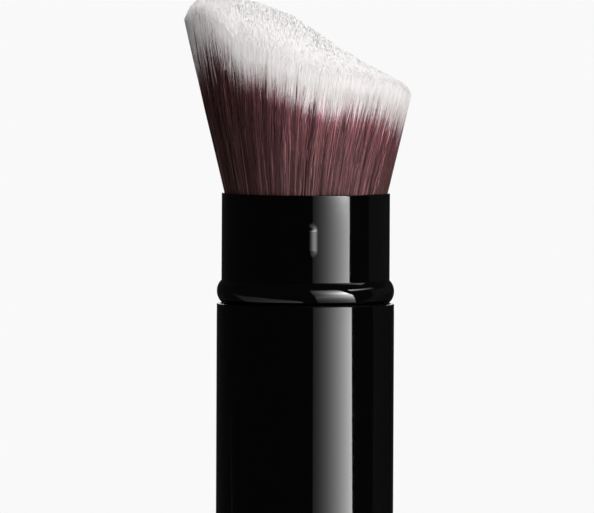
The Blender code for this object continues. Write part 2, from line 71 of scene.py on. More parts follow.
# %% Read sizes from the CAD nodes
MM = 0.001
FULL_TURN = 2 * np.pi
CASE_WALL = 0.5 * MM
COLLAR_WALL = 0.38 * MM
FOOT_SEAM = 0.3 * MM
BEAD_FOOT_DROP = 0.10 * MM
BEAD_TOP_DROP = 0.04 * MM


def ring_size(node):
    """(outer radius, lowest height, highest height) of a turned CAD node."""
    low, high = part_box(node)
    return high.x, low.z, high.z


body_radius, body_low, body_top = ring_size("body_shell")
_, cap_low, spigot_top = ring_size("base_cap")
collar_radius, _, mouth = ring_size("collar_shell")
bead_radius, bead_low, bead_high = ring_size("bead_ring")
bead_low, bead_high = bead_low - BEAD_FOOT_DROP, bead_high - BEAD_TOP_DROP
_, _, ferrule_top = ring_size("ferrule")
cap_top = body_low - FOOT_SEAM
print(f"radius of the case {body_radius / MM:.2f} mm, of the collar {collar_radius / MM:.2f} mm")
print(f"mouth of the collar {mouth / MM:.2f} mm up")

# %% [markdown]
# ## Meshes from whole arrays
#
# A turned piece is a profile carried round Z: a point at radius r and height z goes to (r cos a, r
# sin a, z) for every angle a at once. The grid of points that comes out is joined by quads. A Spin
# or Screw modifier would do the same, but the grid also lets one wall be pushed out where a rib
# stands, which a modifier can't.

# %% Make a mesh from points and faces


def new_piece(name, points, quads, triangles=None):
    """An object whose mesh has these points, four-sided faces and three-sided faces."""
    triangles = np.empty((0, 3), int) if triangles is None else triangles
    corners = np.concatenate([quads.ravel(), triangles.ravel()]).astype(np.int32)
    starts = np.concatenate(
        [np.arange(len(quads)) * 4, len(quads) * 4 + np.arange(len(triangles)) * 3]
    ).astype(np.int32)
    mesh = bpy.data.meshes.new(name)
    mesh.vertices.add(len(points))
    mesh.vertices.foreach_set("co", np.asarray(points, np.float32).ravel())
    mesh.loops.add(len(corners))
    mesh.loops.foreach_set("vertex_index", corners)
    mesh.polygons.add(len(starts))
    mesh.polygons.foreach_set("loop_start", starts)
    mesh.polygons.foreach_set("use_smooth", np.full(len(starts), True))
    mesh.update(calc_edges=True)
    mesh.validate()
    piece = bpy.data.objects.new(name, mesh)
    bpy.context.scene.collection.objects.link(piece)
    return piece


# %% Carry a profile round the axis
ROUND_ANGLES = np.linspace(0, FULL_TURN, 256, endpoint=False)
ARC_STEPS = 6
LEAD_SHARE = 1.8
SAME_RADIUS = 1e-6


def rounded(corners, radii):
    """A closed profile whose corners are rounded: each corner C is cut back to A and B on its
    two edges, and the curve (1-t)^2 A + 2t(1-t) C + t^2 B goes between them. One more point outside
    each end of the curve keeps the shading of the long edges straight."""
    corners = np.asarray(corners, float)
    radii = np.asarray(radii, float)[:, None]
    before = np.roll(corners, 1, 0) - corners
    after = np.roll(corners, -1, 0) - corners
    before /= np.linalg.norm(before, axis=1)[:, None]
    after /= np.linalg.norm(after, axis=1)[:, None]
    start, end = corners + before * radii, corners + after * radii
    t = np.linspace(0, 1, ARC_STEPS)[None, :, None]
    arcs = (1 - t) ** 2 * start[:, None] + 2 * t * (1 - t) * corners[:, None] + t**2 * end[:, None]
    lead, trail = corners + before * radii * LEAD_SHARE, corners + after * radii * LEAD_SHARE
    return np.concatenate([lead[:, None], arcs, trail[:, None]], 1).reshape(-1, 2)


def split(profile, heights, radius):
    """The profile with extra rows at these heights on its outer wall, which lies at this radius."""
    ahead = np.roll(profile, -1, 0)
    on_wall = np.abs(profile[:, 0] - radius) < SAME_RADIUS
    wall = on_wall & (np.abs(ahead[:, 0] - radius) < SAME_RADIUS)
    first = int(np.argmax(wall * np.abs(ahead[:, 1] - profile[:, 1])))
    extra = np.stack([np.full(len(heights), radius), np.sort(heights)[::-1]], 1)
    return np.concatenate([profile[: first + 1], extra, profile[first + 1 :]])


def turned(name, profile, angles=ROUND_ANGLES, push=None, poles=False):
    """A profile of (radius, height) rows, down the outer side, carried round Z. push(angle,
    height, radius) says how far the wall moves out. With poles, the first and last rows are on the
    axis, and each becomes one point."""
    radius, height = profile[:, 0][:, None], profile[:, 1][:, None]
    if push is not None:
        radius = radius + push(angles[None, :], height, radius)
    radius, height = np.broadcast_arrays(radius + 0 * angles, height + 0 * angles)
    points = np.stack([radius * np.cos(angles), radius * np.sin(angles), height], -1)
    if not poles:
        index = np.arange(points[..., 0].size).reshape(points.shape[:2])
        here, down = index, np.roll(index, -1, 0)
        fans = None
        points = points.reshape(-1, 3)
    else:
        inner = points[1:-1]
        index = np.arange(inner[..., 0].size).reshape(inner.shape[:2])
        here, down = index[:-1], index[1:]
        top, bottom = index.size, index.size + 1
        first, last = index[0], index[-1]
        fans = np.concatenate(
            [
                np.stack([np.full(len(first), top), first, np.roll(first, -1)], 1),
                np.stack([np.full(len(last), bottom), np.roll(last, -1), last], 1),
            ]
        )
        points = np.concatenate([inner.reshape(-1, 3), points[0, :1], points[-1, :1]])
    quads = np.stack([here, down, np.roll(down, -1, 1), np.roll(here, -1, 1)], -1)
    return new_piece(name, points, quads.reshape(-1, 4), fans)


print("round angles:", len(ROUND_ANGLES))

# %% [markdown]
# ## Shader maths in Python
#
# A material's maths is easier to read as an expression than as a row of nodes. One small class
# wraps a node's output and gives it Python's operators, and one method makes any other node.
# Colours go through Mix nodes, because a Math node would turn a colour grey. The stage and the
# world use the same classes.

# %% Wrap sockets and nodes


class Value:
    """A number that a node puts out. Sums and products of it add Math nodes."""

    def __init__(self, nodes, socket):
        self.nodes, self.socket = nodes, socket

    def math(self, operation, *parts):
        """One Math node on these parts."""
        made = self.nodes.node("ShaderNodeMath", {"operation": operation}, *parts)
        return Value(self.nodes, made.outputs[0])

    def __add__(self, other):
        return self.math("ADD", self, other)

    def __rsub__(self, other):
        return self.math("SUBTRACT", other, self)

    def __mul__(self, other):
        return self.math("MULTIPLY", self, other)

    def __pow__(self, other):
        return self.math("POWER", self, other)

    def above(self, other):
        """One where the number is above the other, and nought elsewhere."""
        return self.math("GREATER_THAN", self, other)

    __radd__, __rmul__ = __add__, __mul__


class Nodes:
    """The nodes of one material or world."""

    def __init__(self, owner):
        owner.use_nodes = True
        self.tree = owner.node_tree

    def feed(self, place, part):
        """Links a socket, or sets it to a plain value. A colour gets its fourth number here."""
        part = part.socket if isinstance(part, Value) else part
        if isinstance(part, bpy.types.NodeSocket):
            self.tree.links.new(part, place)
        else:
            place.default_value = (*part, 1) if place.type == "RGBA" else part

    def node(self, kind, settings=None, *parts, **sockets):
        """Any node: its type, its settings, then the values or links of its sockets, first in their
        order, then by name."""
        made = self.tree.nodes.new(kind)
        for name, setting in (settings or {}).items():
            if name == "stops":
                while len(made.color_ramp.elements) < len(setting):
                    made.color_ramp.elements.new(1)
                for element, (place, colour) in zip(made.color_ramp.elements, setting):
                    element.position, element.color = place, (*colour, 1)
            else:
                setattr(made, name, setting)
        for place, part in zip(made.inputs, parts):
            self.feed(place, part)
        for name, part in sockets.items():
            self.feed(made.inputs[name.replace("_", " ")], part)
        return made

    def value(self, kind, output, settings=None, **sockets):
        """The number that this output of a new node puts out."""
        return Value(self, self.node(kind, settings, **sockets).outputs[output])

    def at(self):
        """The place on the piece, in metres, where the shader runs."""
        return self.node("ShaderNodeTexCoord").outputs["Object"]


class Finish(Nodes):
    """A material whose Principled shader gets its constants here and its patterns from nodes."""

    def __init__(self, name, **constants):
        self.material = bpy.data.materials.new(name)
        super().__init__(self.material)
        self.shader = self.tree.nodes["Principled BSDF"]
        self.set(**constants)

    def set(self, **parts):
        """Feeds the shader's sockets: base_color means Base Color."""
        for name, part in parts.items():
            title = name.replace("_", " ").title().replace("Ior", "IOR")
            self.feed(self.shader.inputs[title], part)

    def stretched(self, x, y, z):
        """The place with each axis multiplied, so that a pattern runs longer along one of them."""
        settings = {"vector_type": "POINT"}
        made = self.node("ShaderNodeMapping", settings, Vector=self.at(), Scale=(x, y, z))
        return made.outputs[0]

    def noise(self, scale, detail=2.0, where=None):
        """Cloudy noise with this many waves in a metre."""
        where = where or self.at()
        return self.value("ShaderNodeTexNoise", "Fac", Vector=where, Scale=scale, Detail=detail)

    def mix(self, share, one, other):
        """A colour that goes from one to other as share goes from 0 to 1."""
        made = self.node("ShaderNodeMix", {"data_type": "RGBA"}, share)
        self.feed(made.inputs[6], one)
        self.feed(made.inputs[7], other)
        return made.outputs[2]

    def scaled(self, colour, share):
        """A colour made darker or lighter by a number that varies over the surface."""
        settings = {"operation": "SCALE"}
        return self.node("ShaderNodeVectorMath", settings, colour, Scale=share).outputs[0]

    def bump(self, height, distance):
        """A relief of this many metres, which feeds the shader's Normal."""
        made = self.node("ShaderNodeBump", Height=height, Distance=distance)
        self.set(normal=made.outputs[0])


def wear(piece, finish):
    """Gives a piece or a CAD node its finish."""
    if piece.material_slots:
        for place in piece.material_slots:
            place.material = finish.material
    else:
        piece.data.materials.append(finish.material)
    return piece


# %% [markdown]
# ## Black lacquer
#
# The case is sprayed with glossy black lacquer. It has almost no colour of its own, so what shows
# is the room in it: a softbox is a bright upright band with sharp edges. Real lacquer is never
# quite even, so its roughness wanders a little, a few grains of dust dull it, and a faint waviness
# of a few thousandths of a millimetre, known as orange peel, softens the edges of what it mirrors.

# %% Mix the black lacquer
BLACK = (0.0007, 0.0007, 0.0008)
DUST_GREY = (0.003, 0.003, 0.003)
DUST_LEVEL = 0.735
CLOUD_SCALE, DUST_SCALE, PEEL_SCALE = 220.0, 5200.0, 400.0
LEAST_ROUGH, CLOUD_ROUGH, DUST_ROUGH = 0.035, 0.03, 0.12
ORANGE_PEEL = 0.0015 * MM


def black_lacquer(name, mirror):
    """Lacquer whose specular level is mirror: 0.5 is plain, more is a harder polish."""
    finish = Finish(name, ior=1.5, specular_ior_level=mirror)
    cloud = finish.noise(CLOUD_SCALE, 3.0)
    dust = finish.noise(DUST_SCALE, 1.0).above(DUST_LEVEL)
    finish.set(
        roughness=LEAST_ROUGH + cloud * CLOUD_ROUGH + dust * DUST_ROUGH,
        base_color=finish.mix(dust, BLACK, DUST_GREY),
    )
    finish.bump(finish.noise(PEEL_SCALE, 1.0), ORANGE_PEEL)
    return finish


lacquer = black_lacquer("black_lacquer", 0.5)
polished = black_lacquer("polished_black_lacquer", 0.8)
print("lacquer nodes:", len(lacquer.tree.nodes))

# %% [markdown]
# ## The case and its foot
#
# The case is a thin drawn tube, closed below by a moulded foot, whose spigot stands up inside it.
# Both are turned shapes with slightly rounded edges. The upper outer edge of the tube is the
# crispest, so that the dark seam under the bead stays a fine line.

# %% Turn the case and its foot
EDGE = 0.09 * MM
CRISP_EDGE = 0.03 * MM
FOOT_EDGE = 0.5 * MM
SPIGOT_GAP = 0.3 * MM
SPIGOT_DEPTH = 2.1 * MM

case_profile = rounded(
    [
        (body_radius - CASE_WALL, body_top),
        (body_radius, body_top),
        (body_radius, body_low),
        (body_radius - CASE_WALL, body_low),
    ],
    [EDGE, CRISP_EDGE, EDGE, EDGE],
)
case = turned("lacquered_case", case_profile)
wear(case, lacquer)
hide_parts("body_shell")
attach(case, "base")

spigot_inside = body_radius - SPIGOT_DEPTH
spigot_outside = body_radius - CASE_WALL - SPIGOT_GAP
foot_corners = [
    (0, cap_top),
    (spigot_inside, cap_top),
    (spigot_inside, spigot_top),
    (spigot_outside, spigot_top),
    (spigot_outside, cap_top),
    (body_radius, cap_top),
    (body_radius, cap_low),
    (0, cap_low),
]
foot_rows = rounded(foot_corners[1:-1], [EDGE, EDGE, EDGE, EDGE, EDGE, FOOT_EDGE])
foot_profile = np.concatenate([foot_corners[:1], foot_rows, foot_corners[-1:]])
foot = turned("lacquered_foot", foot_profile, poles=True)
wear(foot, lacquer)
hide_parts("base_cap")
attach(foot, "base")
print("case faces:", len(case.data.polygons), "foot faces:", len(foot.data.polygons))

# %% [markdown]
# ## The collar with its grip ribs
#
# The collar is a thin lacquered sleeve that the fingers turn. Three small pill-shaped ribs, one of
# them at the front, keep them from slipping. A rib could be a separate pill sunk in the wall, but
# pushing the wall itself out leaves no seam. The pill swells softly out of the wall: its height is
# depth * (1 - e)^1.5 * (1 + cos(pi * t^1.2)) / 2. Here e goes from 0 to 1 over each end, so that
# the ends slope down like ramps, and t is the distance from the pill's middle line as a share of
# its half width, which shrinks by sqrt(1 - 0.6 e^2) towards the ends. Its right flank mirrors the
# softbox, and its left flank the dark room. The wall gets finer columns and rows where the ribs
# stand.

# %% Push the ribs out of the collar's wall
RIB_ANGLES = np.radians([-88.1, 31.9, 151.9])
RIB_HALF_WIDTH = 1.40 * MM
RIB_HALF_LENGTH = 2.58 * MM
RIB_END = 1.15 * MM
RIB_DEPTH = 0.28 * MM
RIB_BELOW_MOUTH = 6.53 * MM
RIB_ROUNDNESS = 0.6
RAMP_POWER = 1.5
CREST_POWER = 1.2
COLLAR_SEAM = 0.01 * MM
FINE_COLUMNS = np.linspace(-1.05, 1.05, 43)
FINE_ROWS = np.linspace(-1.06, 1.06, 61)

rib_middle = mouth - RIB_BELOW_MOUTH
collar_foot = bead_high + COLLAR_SEAM


def rib_push(angle, height, radius):
    """How far the collar's outer wall stands out, for every angle and height at once."""
    off = (angle[..., None] - RIB_ANGLES + np.pi) % FULL_TURN - np.pi
    across = np.abs(off).min(-1) * collar_radius / RIB_HALF_WIDTH
    end = np.clip((np.abs(height - rib_middle) - RIB_HALF_LENGTH) / RIB_END + 1, 0, 1)
    t = np.clip(across / np.sqrt(1 - RIB_ROUNDNESS * end**2), 0, 1)
    on_wall = np.abs(radius - collar_radius) < SAME_RADIUS
    ramp = RIB_DEPTH * (1 - end) ** RAMP_POWER
    return ramp * (1 + np.cos(np.pi * t**CREST_POWER)) / 2 * on_wall


fine = FINE_COLUMNS * RIB_HALF_WIDTH / collar_radius
rib_angles = [(middle + fine) % FULL_TURN for middle in RIB_ANGLES]
collar_angles = np.unique(np.round(np.concatenate([ROUND_ANGLES, *rib_angles]), 6))
collar_profile = rounded(
    [
        (collar_radius - COLLAR_WALL, mouth),
        (collar_radius, mouth),
        (collar_radius, collar_foot),
        (collar_radius - COLLAR_WALL, collar_foot),
    ],
    [EDGE, EDGE, EDGE / 3, EDGE / 3],
)
rib_heights = rib_middle + FINE_ROWS * RIB_HALF_LENGTH
collar_profile = split(collar_profile, rib_heights, collar_radius)
collar = turned("lacquered_collar", collar_profile, collar_angles, rib_push)
wear(collar, lacquer)
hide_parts("collar_shell")
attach(collar, "collar")
print("collar faces:", len(collar.data.polygons))

# %% [markdown]
# ## The bead
#
# A round bead closes the collar below. Its section is an arc that swells from the collar's radius
# to the case's and back, so it squeezes the softbox's tall reflection into a short bright swoosh.

# %% Turn the bead
BEAD_STEPS = 40
BEAD_LIP = 0.1 * MM

bead_half = (bead_high - bead_low) / 2
bead_swell = bead_radius - collar_radius
bead_arc = (bead_half**2 + bead_swell**2) / (2 * bead_swell)
reach = math.asin(bead_half / bead_arc)
turn = np.linspace(reach, -reach, BEAD_STEPS)
arc_radii = bead_radius - bead_arc * (1 - np.cos(turn))
arc_heights = bead_low + bead_half + bead_arc * np.sin(turn)
bead_back = [
    (collar_radius - BEAD_LIP, bead_low),
    (collar_radius - COLLAR_WALL, bead_low),
    (collar_radius - COLLAR_WALL, bead_high),
    (collar_radius - BEAD_LIP, bead_high),
]
bead_profile = np.concatenate([np.stack([arc_radii, arc_heights], 1), bead_back])
bead = turned("lacquered_bead", bead_profile)
wear(bead, polished)
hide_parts("bead_ring")
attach(bead, "collar")
print("bead faces:", len(bead.data.polygons))

# %% [markdown]
# ## The bristles
#
# The head is a bundle of synthetic fibres, glued at its root in a metal ferrule and spread like a
# cone by its packing. They are dyed burgundy and left white for their last six millimetres. Hair
# curves would be lighter, but the exported model keeps only meshes, so each fibre is a slim
# three-sided spike of 28 triangles.
#
# A fibre's middle at height z is q * R(z), where q is its place in a unit disc and
# R(z) = mouth radius + flare * (z - mouth). The places follow the seeds of a sunflower:
# angle = k * 137.5 degrees and distance = sqrt(u), where u goes from 0 to 1. With u = k / count the
# disc is filled evenly. Here 0.7 u + 0.3 u^7 = k / count packs the outer layer, the one that shows,
# more closely. The places are then shaken a little, because real fibres are.

# %% Lay out the fibres
FIBRES = 52000
SIDES = 3
SEED = 7
MOUTH_GAP = 0.07 * MM
FLARE = 0.2365
ROOT_DEPTH = 3.6 * MM
GOLDEN = math.pi * (3 - math.sqrt(5))
OUTER_SHARE = 0.3
OUTER_POWER = 7
PLACE_SHAKE = 0.4
WAVES = 24
WAVE_RANGE = 0.6, 1.6

chance = np.random.default_rng(SEED)
order = np.arange(FIBRES) + 0.5
shares = np.linspace(0, 1, 2001)
packed = (1 - OUTER_SHARE) * shares + OUTER_SHARE * shares**OUTER_POWER
distance = np.sqrt(np.interp(order / FIBRES, packed, shares))
q = distance[:, None] * np.stack([np.cos(order * GOLDEN), np.sin(order * GOLDEN)], 1)
q += chance.normal(0, PLACE_SHAKE / math.sqrt(FIBRES), q.shape)
q /= np.maximum(np.linalg.norm(q, axis=1), 1)[:, None]
mouth_spread = collar_radius - COLLAR_WALL - MOUTH_GAP
root_height = ferrule_top - ROOT_DEPTH


def spread(height):
    """The radius of the whole head at a height."""
    return mouth_spread + FLARE * (height - mouth)


def ripple(places, size):
    """A smooth random value for each place: the sum of cosines in random directions, whose waves
    are about this long, scaled to a spread of one."""
    turns = chance.uniform(0, FULL_TURN, WAVES)
    waves = FULL_TURN / (size * chance.uniform(*WAVE_RANGE, WAVES))
    directions = np.stack([np.cos(turns), np.sin(turns)]) * waves
    phases = chance.uniform(0, FULL_TURN, WAVES)
    return np.cos(places @ directions + phases).sum(-1) * math.sqrt(2 / WAVES)


print("fibres:", len(q))

# %% [markdown]
# The head is cut to a slanted, S-shaped top. Two rows of points say how, in millimetres from the
# axis and from the mouth of the collar: the ridge, which is the outline seen from the front, and
# the rim in front of it, which is lower. From the ridge at y = 0 to the rim, w goes from 0 to 1 as
# y^2 / (R^2 - x^2), and the height of the cut is ridge - (ridge - rim) w - round-off * w^6. Where a
# tip is depends on its height, because the head flares, and its height on where it is. So each tip
# goes halfway to the cut above it, again and again.

# %% Cut the head
RIDGE_X = np.array(
    [-19.5, -18.4, -17.7, -17.0, -16.1, -14.6, -12.5, -8.9, -7.25, -5.5, -3.7, -1.95, -0.2, 1.6,
     3.35, 5.1, 6.9, 8.6, 10.4, 12.2, 13.4, 14.2, 14.8, 15.15, 15.35, 16.5]
)
RIDGE_Z = np.array(
    [21.2, 23.1, 25.4, 26.9, 27.8, 28.2, 28.3, 28.15, 27.6, 27.05, 26.4, 25.65, 24.5, 23.3, 22.05,
     20.85, 19.8, 18.75, 17.75, 16.85, 16.15, 15.7, 15.2, 14.6, 13.6, 8.0]
)
RIM_X = np.array(
    [-17.6, -15.2, -13.9, -12.6, -11.4, -10.1, -8.8, -6.2, -3.55, -2.2, -0.95, 0.33, 3.0, 5.6, 9.6,
     12.2, 13.9, 15.5]
)
RIM_Z = np.array(
    [25.0, 26.8, 26.4, 25.5, 24.3, 22.7, 22.2, 21.6, 20.5, 20.2, 19.3, 18.8, 18.2, 18.0, 17.2,
     16.3, 15.6, 14.2]
)
RIM_LIFT = 0.45
RIM_ROUND = 0.8 * MM
LEAST_REACH = 2 * MM
MOST_WAY = 1.1
FIRST_GUESS = 20 * MM
CUT_ROUNDS = 30


def cut_height(x, y, z):
    """The height of the cut above (x, y), where z is a first guess of it. w is the share of the way
    from the ridge to the rim, and the height is ridge - (ridge - rim) w - round-off * w^6."""
    ridge = np.interp(x / MM, RIDGE_X, RIDGE_Z) * MM
    rim = (np.interp(x / MM, RIM_X, RIM_Z) + RIM_LIFT) * MM
    way = np.clip(y**2 / np.maximum(spread(z) ** 2 - x**2, LEAST_REACH**2), 0, MOST_WAY)
    return mouth + ridge - (ridge - rim) * way - RIM_ROUND * way**6


tip = np.full(FIBRES, mouth + FIRST_GUESS)
for _ in range(CUT_ROUNDS):
    at = q * spread(tip)[:, None]
    tip = 0.5 * tip + 0.5 * cut_height(at[:, 0], at[:, 1], tip)
at = q * spread(tip)[:, None]
lowest, highest = (tip.min() - mouth) / MM, (tip.max() - mouth) / MM
print(f"tips from {lowest:.1f} to {highest:.1f} mm above the mouth")

# %% [markdown]
# Each fibre wanders from its straight line: the whole bundle is turned a little between roots and
# tips, neighbours lean together in soft locks, each fibre sways, and strays cross the others. No
# fibre leaves the cone by more than a hair. A fibre has a ring of corners at its tip, three on the
# way down and one at its root, and the lengths below say how far each is below the tip. Towards
# its tip it gets thinner, as a flagged synthetic fibre does.

# %% Bend and taper the fibres
THICKNESS = 0.066 * MM
THICKNESS_RANGE = 0.6, 1.6
RING_DROPS = np.array([0.0, 2.2, 6.5, 13.0]) * MM
SWAY_SHAPE = np.array([0.0, 0.5, 1.0, 1.0, 0.0])
TAPER_LENGTH = 5.0 * MM
TAPER_POWER = 0.7
TIP_SHARE = 0.62
NEEDLE = 0.12 * MM
LOCK_SIZE = 3.2 * MM
LOCK_LEAN = 0.14 * MM
OWN_LEAN = 0.15 * MM
STRAY_SHARE = 0.42
STRAY_LEAN = 1.8 * MM
SWAY = 0.22 * MM
TWIST = math.radians(13)
TWIST_HEIGHT = 30 * MM
TIP_SHAKE = 0.15 * MM
SHAKE_LIMITS = -3 * TIP_SHAKE, 1.8 * TIP_SHAKE
HAIR = 0.02 * MM
TINY = 1e-9
BENT_CUT_ROUNDS = 12

lean = np.stack([ripple(at, LOCK_SIZE), ripple(at, LOCK_SIZE)], 1) * LOCK_LEAN
lean += chance.normal(0, OWN_LEAN, lean.shape)
stray = chance.normal(0, STRAY_LEAN, lean.shape) * (chance.random((FIBRES, 1)) < STRAY_SHARE)


def place(height, sway=0):
    """Where the middle of every fibre is at these heights, kept within the cone: its place in the
    disc, turned back by the twist that is still to come, times the head's radius, plus lean, stray
    and sway."""
    rise = np.clip((height - ferrule_top) / TWIST_HEIGHT, 0, None)[..., None]
    back = TWIST * (rise - 1)
    crosswise = np.stack([-q[:, 1], q[:, 0]], -1)
    start = q[:, None] * np.cos(back) + crosswise[:, None] * np.sin(back)
    middle = start * spread(height)[..., None] + lean[:, None] * rise**2
    middle = middle + stray[:, None] * rise + sway
    limit = spread(height) + HAIR
    reach = np.maximum(np.linalg.norm(middle, axis=-1), TINY)
    return middle * np.minimum(1, limit / reach)[..., None]


for _ in range(BENT_CUT_ROUNDS):
    at = place(tip[:, None])[:, 0]
    tip = 0.5 * tip + 0.5 * cut_height(at[:, 0], at[:, 1], tip)
tip += np.clip(chance.normal(0, TIP_SHAKE, FIBRES), *SHAKE_LIMITS)
drops = np.broadcast_to(RING_DROPS, (FIBRES, len(RING_DROPS)))
drops = np.concatenate([drops, (tip - root_height)[:, None]], 1)
heights = tip[:, None] - drops
sway = chance.normal(0, SWAY, (FIBRES, len(SWAY_SHAPE), 2)) * SWAY_SHAPE[:, None]
middles = place(heights, sway)
thick = THICKNESS * chance.uniform(*THICKNESS_RANGE, FIBRES)[:, None]
taper = np.clip(drops / TAPER_LENGTH, 0, 1) ** TAPER_POWER
thick = thick * (TIP_SHARE + (1 - TIP_SHARE) * taper)
corner_angles = chance.uniform(0, FULL_TURN, FIBRES)[:, None] + np.arange(SIDES) * FULL_TURN / SIDES
offsets = np.stack([np.cos(corner_angles), np.sin(corner_angles)], -1)
rings = middles[:, :, None] + offsets[:, None] * thick[:, :, None, None]
ring_heights = np.broadcast_to(heights[:, :, None, None], (*rings.shape[:3], 1))
fibre_points = np.concatenate([rings, ring_heights], -1)
needle = np.concatenate([middles[:, 0], (tip + NEEDLE)[:, None]], -1)
print("rings of a fibre:", rings.shape[1])

# %% [markdown]
# Thousands of thin fibres shade like one soft surface, because what shows of each is its outer
# side. So a fibre's normals are a mix of its own and the head's: outwards near the wall, up on the
# cut, and turning from one to the other over the last millimetres of the outer fibres. Each fibre,
# and each lock, is tilted a little off that, so that some glint and others don't. All of it
# changes with s, the distance below the tip divided by 6.5 mm, at most 1. The share of outwards is
# |q|^2.5 * (0.5 + 0.5 s), and the head's share of a normal goes from 0.92 at the tip to 0.68.

# %% Turn the normals of the fibres
SHARED_NORMAL = 0.68
SHARED_AT_TIP = 0.92
WALL_POWER = 2.5
WALL_AT_TIP = 0.5
UP_TO_RIGHT = 0.55
UP_TO_SIDE = 10
OWN_TILT = 0.34
LOCK_TILT = 0.10
LOCK_TILT_SIZE = 1.1 * MM
TILT_AT_TIP = 0.2
TURN_LENGTH = 6.5 * MM


def unit(vectors):
    """The vectors at length one."""
    return vectors / np.linalg.norm(vectors, axis=-1)[..., None]


below = np.clip(drops / TURN_LENGTH, 0, 1)
turned_in = WALL_AT_TIP + (1 - WALL_AT_TIP) * below
wall = (np.linalg.norm(q, axis=1)[:, None] ** WALL_POWER * turned_in)[..., None]
outward = unit(np.concatenate([unit(q), np.full((FIBRES, 1), -FLARE)], 1))
upward = unit(np.stack([UP_TO_RIGHT + 0 * tip, UP_TO_SIDE * at[:, 1], 1 + 0 * tip], 1))
head_normals = unit(wall * outward[:, None] + (1 - wall) * upward[:, None])
tilt = chance.normal(0, OWN_TILT, (FIBRES, 1, 3))
tilt[:, 0, 0] += LOCK_TILT * ripple(at, LOCK_TILT_SIZE)
tilt = tilt * (TILT_AT_TIP + (1 - TILT_AT_TIP) * below)[..., None]
head_normals = unit(head_normals + tilt)
own_normals = np.concatenate([offsets, 0 * offsets[..., :1]], -1)
shared = SHARED_AT_TIP + (SHARED_NORMAL - SHARED_AT_TIP) * below
shared = shared[:, :, None, None]
fibre_normals = unit(shared * head_normals[:, :, None] + (1 - shared) * own_normals[:, None])
print("normals:", fibre_normals.shape)

# %% [markdown]
# ## The colour of the fibres
#
# The dye stops at about the same distance from every tip, but the edge is ragged, because locks of
# fibres were dipped a little higher or lower. So the colour is a function of two numbers that each
# fibre carries in its UV map: V is the distance below the edge of the dye, and U is the fibre's
# tone, its own lightness with painted shade added on the left. Fibres that share a tone share their
# place on the map, and a bake of it stays sharp.
#
# The dye isn't even over the head. Past some distance from the axis, and over some width from
# there, the white gets shorter on the right, and on the left the edge of the dye gets more ragged.
# The tone is also lowered on the left, which is painted shade for the shaded side of the head.

# %% Give each fibre a tone and a dye line
WHITE_LENGTH = 6.1 * MM
V_START, V_RANGE = -12 * MM, 52 * MM
U_WIDTH = 0.012
LINE_WAVES = (0.32 * MM, 1.0 * MM), (0.15 * MM, 3.0 * MM)
RIGHT_SHORTER, SHORTER_FROM = 0.7 * MM, (5, 7)
RAGGED, LEFT_RAGGED, RAGGED_FROM = 0.75, 1.5, (9, 7)
MIDDLE_TONE, OWN_TONE = 0.5, 0.22
TONE_WAVES = (0.12, 0.9 * MM), (0.06, 2.4 * MM)
# Painted shade on the left: how much the tone drops, and from where and over what width in mm.
LEFT_PAINTED_SHADE, PAINTED_SHADE_FROM = 0.15, (6, 8)
TONE_RANGE = 0.02, 0.98


def waved(start, waves):
    """The start plus a ripple for each of these pairs of a wave's height and its length."""
    return sum((size * ripple(at, length) for size, length in waves), start)


def past(places, start, width):
    """Nought as far as this start, in millimetres, and one from this much further on."""
    return np.clip((places / MM - start) / width, 0, 1)


right, left = at[:, 0], -at[:, 0]
dye_line = waved(WHITE_LENGTH, LINE_WAVES) - RIGHT_SHORTER * past(right, *SHORTER_FROM)
dye_line += chance.normal(0, (RAGGED + LEFT_RAGGED * past(left, *RAGGED_FROM)) * MM)
tone = waved(MIDDLE_TONE, TONE_WAVES) + chance.normal(0, OWN_TONE, FIBRES)
# Painted shade: every fibre on the left gets a lower tone, so the shaded side is darker in its
# colour.
tone = np.clip(tone - LEFT_PAINTED_SHADE * past(left, *PAINTED_SHADE_FROM), *TONE_RANGE)
fibre_v = (drops - dye_line[:, None] - V_START) / V_RANGE
needle_v = fibre_v[:, 0] - NEEDLE / V_RANGE
side_u = tone[:, None] + (np.arange(SIDES + 1) / SIDES - 0.5) * U_WIDTH
print(f"V from {needle_v.min():.2f} to {fibre_v.max():.2f}")

# %% [markdown]
# The ramp of colours goes from the white tips over a dull pink to a deep burgundy, at these
# distances in millimetres below the edge of the dye. White fibres differ little from each other in
# lightness, and dyed ones a lot, from 0.12 to 2.8 times the ramp's colour:
# strength = 0.12 + 1.4 tone + 1.3 tone^4.

# %% Mix the finish of the fibres
COLOURS = {
    -6.0: (0.91, 0.89, 0.88),
    -4.0: (0.865, 0.835, 0.825),
    -2.0: (0.74, 0.68, 0.68),
    -0.8: (0.56, 0.44, 0.455),
    0.4: (0.26, 0.095, 0.11),
    1.6: (0.18, 0.067, 0.075),
    6.0: (0.148, 0.062, 0.065),
    14.0: (0.142, 0.065, 0.066),
}
UNDYED, DYED = -3.0, 1.0
WHITE_STRENGTH = 0.95, 0.08
DYED_STRENGTH = 0.12, 1.4, 1.3
DYED_SHEEN = 0.68


def v_at(distance):
    """V at this distance in millimetres below the edge of the dye."""
    return (distance * MM - V_START) / V_RANGE


